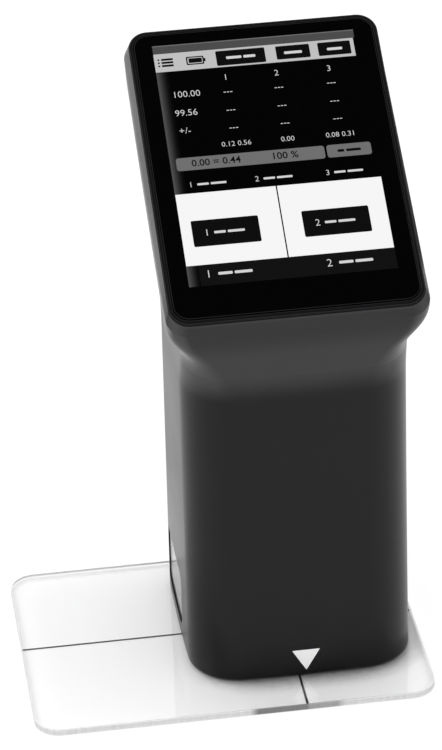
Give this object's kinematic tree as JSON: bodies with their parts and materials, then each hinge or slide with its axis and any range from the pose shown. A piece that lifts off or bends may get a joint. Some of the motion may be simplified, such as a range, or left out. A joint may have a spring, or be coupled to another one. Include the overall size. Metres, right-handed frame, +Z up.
{
  "type": "benchtop colorimeter",
  "caption": "Portable bench colorimeter with a column body, a tilted touch display and a measuring port underneath, standing on a clear locating plate.",
  "frame": {"origin": "centre of the underside of the locating plate", "axes": "+Z up, +Y to the back of the instrument, +X to its right seen from the display side"},
  "size_m": [0.1228, 0.1073, 0.1804],
  "materials": {
    "clear_acrylic": "clear polished sheet with ground edges",
    "housing_plastic": "fine matt charcoal moulding",
    "trim_plastic": "smooth dark frame",
    "cover_glass": "black backed cover glass, polished",
    "port_cover_plastic": "matt grey moulding",
    "key_plastic": "satin grey key top",
    "circuit_board": "green solder resist",
    "bright_steel": "plated steel",
    "diffuse_white": "flat white reflective coating",
    "black_plastic": "matt black moulding",
    "optical_glass": "clear optical glass",
    "foot_rubber": "soft black rubber",
    "battery_wrap": "blue shrink wrap"
  },
  "bodies": {
    "plate": {"locating_plate": "clear_acrylic"},
    "instrument": {"main_housing": "housing_plastic", "rear_cover": "housing_plastic", "head_bezel": "trim_plastic", "touch_glass": "cover_glass", "display_panel": "black_plastic", "display_carrier": "black_plastic", "main_board": "circuit_board", "key_switch": "black_plastic", "key_board": "circuit_board", "buzzer": "black_plastic", "base_plate": "black_plastic", "base_screw_1": "bright_steel", "base_screw_2": "bright_steel", "base_screw_3": "bright_steel", "base_screw_4": "bright_steel", "foot_1": "foot_rubber", "foot_2": "foot_rubber", "foot_3": "foot_rubber", "foot_4": "foot_rubber", "measuring_nose": "black_plastic", "port_glass": "optical_glass", "sphere_lower": "diffuse_white", "sphere_upper": "diffuse_white", "lamp_barrel": "black_plastic", "lamp_lens": "optical_glass", "lamp_board": "circuit_board", "sensor_board": "circuit_board", "photo_sensor": "black_plastic", "optics_bracket": "black_plastic", "battery_pack": "battery_wrap", "battery_holder": "black_plastic", "port_bay": "black_plastic", "port_cover_pin": "bright_steel", "port_board": "circuit_board", "usb_socket": "bright_steel", "power_jack": "black_plastic", "power_switch": "bright_steel"},
    "port_lid": {"port_cover": "port_cover_plastic"},
    "key": {"measuring_key": "key_plastic"},
    "power_knob": {"switch_knob": "diffuse_white"},
    "reset_button": {"reset_key": "diffuse_white"}
  },
  "joints": [
    {"name": "plate_lift", "type": "slide", "parent": "plate", "child": "instrument", "axis": [0, 0, 1], "range_m": [0, 0.03]},
    {"name": "port_cover_hinge", "type": "hinge", "parent": "instrument", "child": "port_lid", "pos_m": [-0.0096, 0.0261, 0.0168], "axis": [0, 0, -1], "range_deg": [0, 90]},
    {"name": "measuring_key_press", "type": "slide", "parent": "instrument", "child": "key", "axis": [0, -1, 0], "range_m": [0, 0.0012], "stiffness_N_per_m": 800},
    {"name": "power_slide", "type": "slide", "parent": "instrument", "child": "power_knob", "axis": [0, 1, 0], "range_m": [0, 0.003]},
    {"name": "reset_key_press", "type": "slide", "parent": "instrument", "child": "reset_button", "axis": [1, 0, 0], "range_m": [0, 0.0006], "stiffness_N_per_m": 300}
  ]
}
